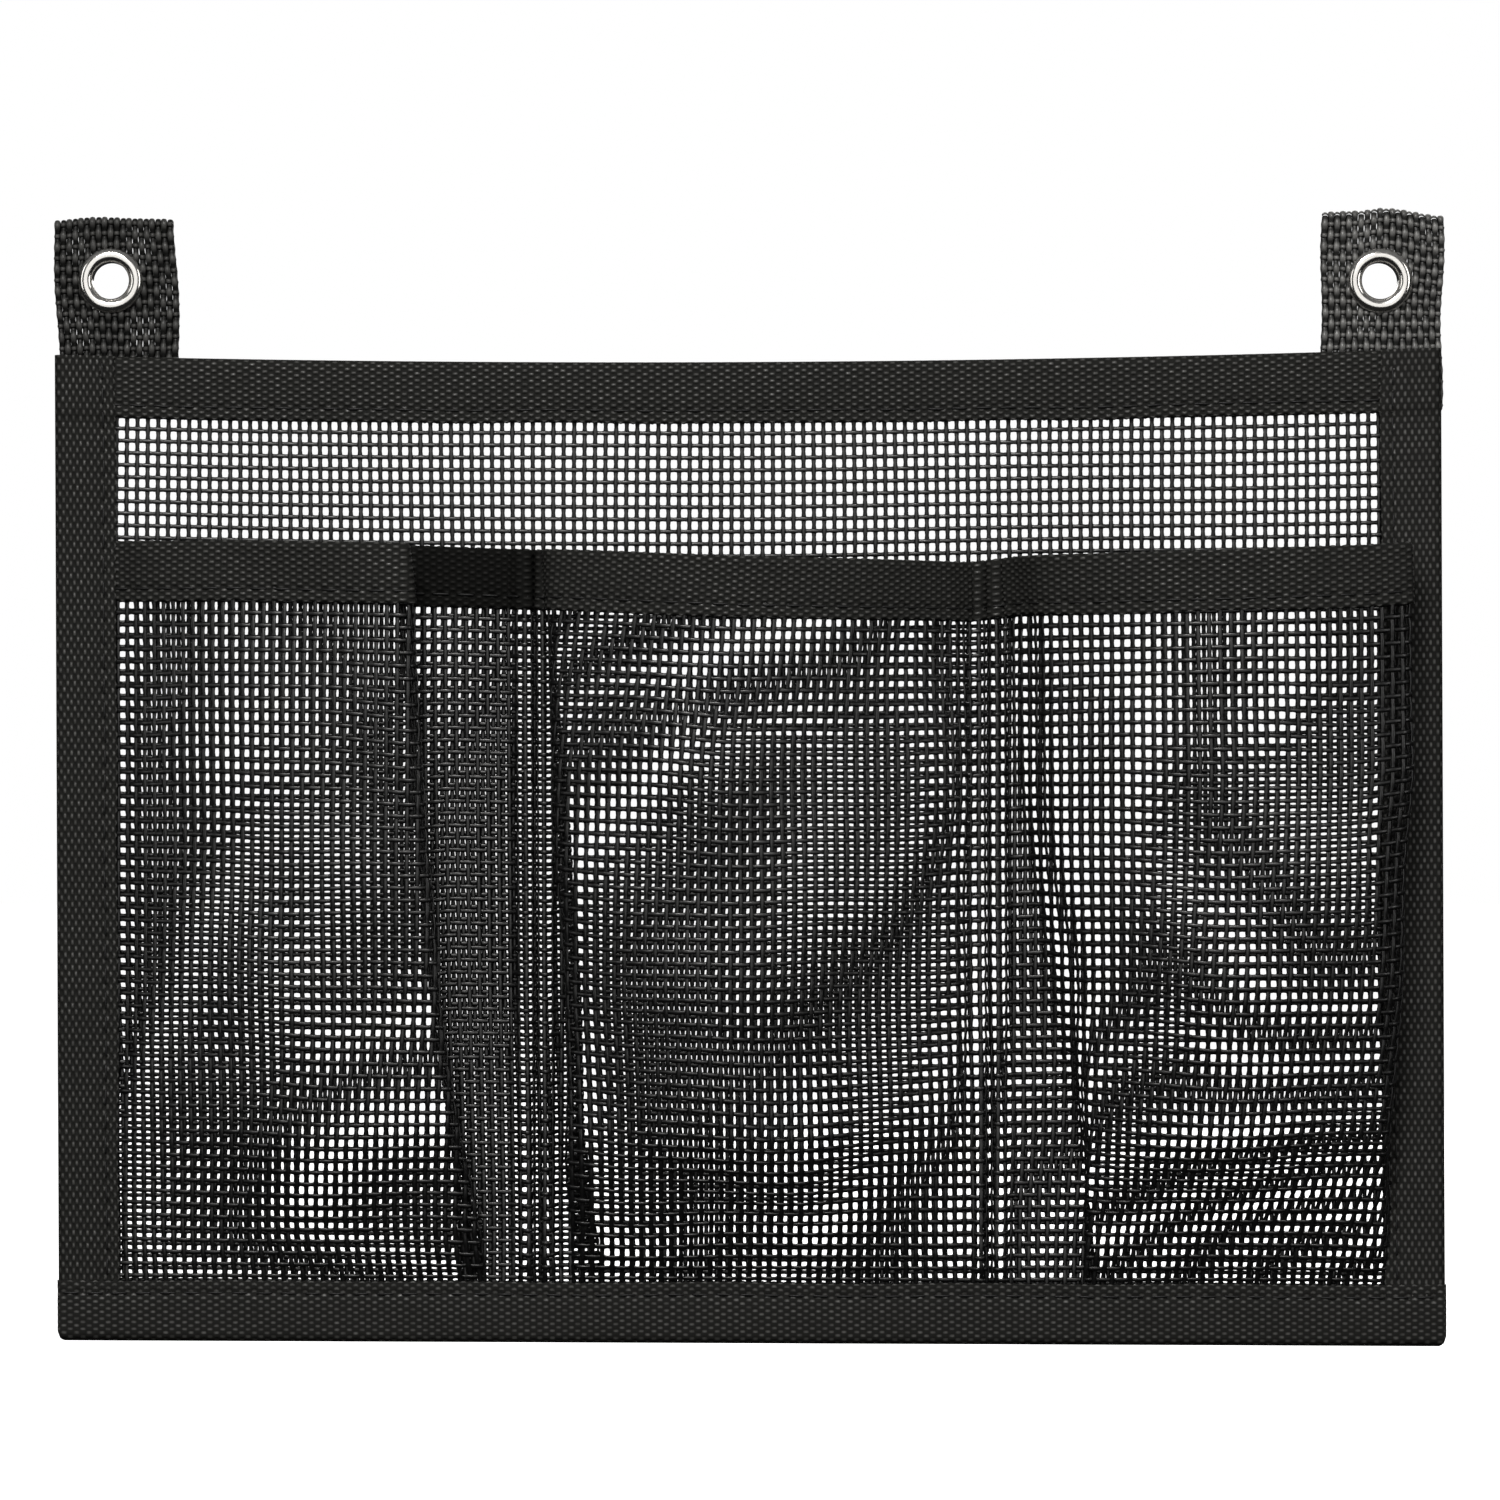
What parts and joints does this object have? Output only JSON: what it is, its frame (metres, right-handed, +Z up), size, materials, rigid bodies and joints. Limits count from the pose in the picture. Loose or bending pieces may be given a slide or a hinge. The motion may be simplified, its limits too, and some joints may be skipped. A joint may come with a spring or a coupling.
{
  "type": "hanging mesh pocket organizer",
  "caption": "Flat hanging organizer of black open mesh with taped edges, a pleated row of open pockets along the lower front and an eyelet tab at each top corner.",
  "frame": {"origin": "midway between the two eyelet holes, on the back face of the tabs", "axes": "+Z up, +X across the width, pockets facing -Y and the hanging surface at +Y"},
  "size_m": [0.3, 0.0287, 0.2453],
  "materials": {
    "mesh": "satin",
    "binding_tape": "matte",
    "webbing": "matte",
    "thread": "matte",
    "eyelet_metal": "polished"
  },
  "bodies": {
    "root": {"back_mesh_panel": "mesh", "pocket_mesh": "mesh", "top_binding": "binding_tape", "bottom_binding": "binding_tape", "left_binding": "binding_tape", "right_binding": "binding_tape", "pocket_hem_tape": "binding_tape", "left_tab_tail": "webbing", "right_tab_tail": "webbing", "top_binding_stitching": "thread", "bottom_binding_stitching": "thread", "left_binding_stitching": "thread", "right_binding_stitching": "thread", "pocket_hem_stitching": "thread", "left_divider_stitching": "thread", "right_divider_stitching": "thread", "left_tab_stitching": "thread", "right_tab_stitching": "thread"},
    "left_tab": {"left_tab_flap": "webbing", "left_eyelet": "eyelet_metal", "left_eyelet_washer": "eyelet_metal"},
    "right_tab": {"right_tab_flap": "webbing", "right_eyelet": "eyelet_metal", "right_eyelet_washer": "eyelet_metal"}
  },
  "joints": [
    {"name": "left_tab_bend", "type": "hinge", "parent": "root", "child": "left_tab", "pos_m": [-0.1355, -0.00135, -0.0135], "axis": [1, 0, 0], "range_deg": [-90, 90], "stiffness_Nm_per_rad": 0.006},
    {"name": "right_tab_bend", "type": "hinge", "parent": "root", "child": "right_tab", "pos_m": [0.1375, -0.00135, -0.0135], "axis": [1, 0, 0], "range_deg": [-90, 90], "stiffness_Nm_per_rad": 0.006}
  ]
}
